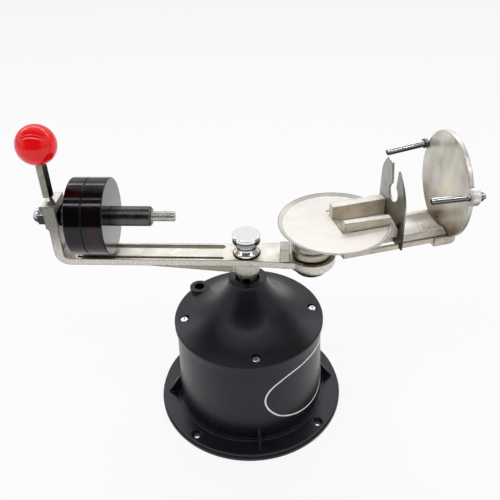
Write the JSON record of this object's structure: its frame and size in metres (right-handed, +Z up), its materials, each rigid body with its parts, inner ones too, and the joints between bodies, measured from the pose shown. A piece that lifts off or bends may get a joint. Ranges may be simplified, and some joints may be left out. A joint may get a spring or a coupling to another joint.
{
  "type": "centrifugal casting machine",
  "caption": "Spring-driven broken-arm centrifugal casting machine: round black base, counterweighted arm with ball handle, and a folding arm with crucible carriage and flask cradle.",
  "frame": {"origin": "centre of the base flange's underside, on the spin axis", "axes": "+Z up along the spin axis; +X along the main arm from the hub to the folding pivot"},
  "size_m": [0.4006, 0.191, 0.3128],
  "materials": {
    "housing": "satin moulded black",
    "bright_screw": "bright zinc",
    "inner_steel": "machined",
    "bush": "turned bronze",
    "spring_steel": "blued spring strip",
    "cast_arm": "nickel plated casting, lightly textured",
    "plated_plate": "nickel plated, softly polished",
    "bright_turned": "bright turned",
    "black_oxide": "turned steel, oiled black oxide",
    "ball": "glossy red"
  },
  "bodies": {
    "base": {"base_housing": "housing", "top_cover": "housing", "cover_screws": "bright_screw", "bearing_plate": "inner_steel", "bearing_plate_screws": "bright_screw", "upper_bush": "bush", "lower_bush": "bush", "thrust_washer": "bright_screw", "mainspring": "spring_steel", "spring_anchor": "bright_screw"},
    "arm": {"drive_shaft": "inner_steel", "spring_arbor": "inner_steel", "arbor_pin": "bright_screw", "main_arm": "cast_arm", "hub_set_screw": "black_oxide", "hub_washer": "bright_turned", "hub_nut": "bright_turned", "stop_block": "cast_arm", "stop_block_screw": "black_oxide", "handle_stem": "bright_turned", "ball_knob": "ball", "balance_stud": "bright_turned", "cap_nut": "bright_turned", "jam_nut": "black_oxide", "pivot_bolt": "black_oxide", "pivot_washer": "black_oxide", "pivot_nut": "black_oxide"},
    "counterweight": {"thin_weight": "black_oxide", "thick_weight": "black_oxide", "weight_sleeve": "black_oxide"},
    "outer_arm": {"outer_arm": "plated_plate", "pivot_bush": "bush", "near_rail": "plated_plate", "far_rail": "plated_plate", "flask_cradle": "plated_plate", "end_plate": "plated_plate", "near_guide_pin": "bright_turned", "far_guide_pin": "bright_turned", "near_pin_collar": "bright_turned", "far_pin_collar": "bright_turned", "far_pin_nut": "bright_turned"},
    "crucible_carriage": {"crucible_tray": "plated_plate", "splash_disc": "plated_plate", "fork_plate": "plated_plate"}
  },
  "joints": [
    {"name": "arm_spin", "type": "hinge", "parent": "base", "child": "arm", "pos_m": [0, 0, 0], "axis": [0, 0, 1], "continuous": true, "deforming": ["mainspring"]},
    {"name": "arm_fold", "type": "hinge", "parent": "arm", "child": "outer_arm", "pos_m": [0.06, 0, 0], "axis": [0, 0, 1], "range_deg": [-18.2, 71.8]},
    {"name": "carriage_slide", "type": "slide", "parent": "outer_arm", "child": "crucible_carriage", "axis": [0.95, 0.3123, 0], "range_m": [-0.02, 0]},
    {"name": "counterweight_slide", "type": "slide", "parent": "arm", "child": "counterweight", "axis": [1, 0, 0], "range_m": [-0.008, 0.02]}
  ]
}
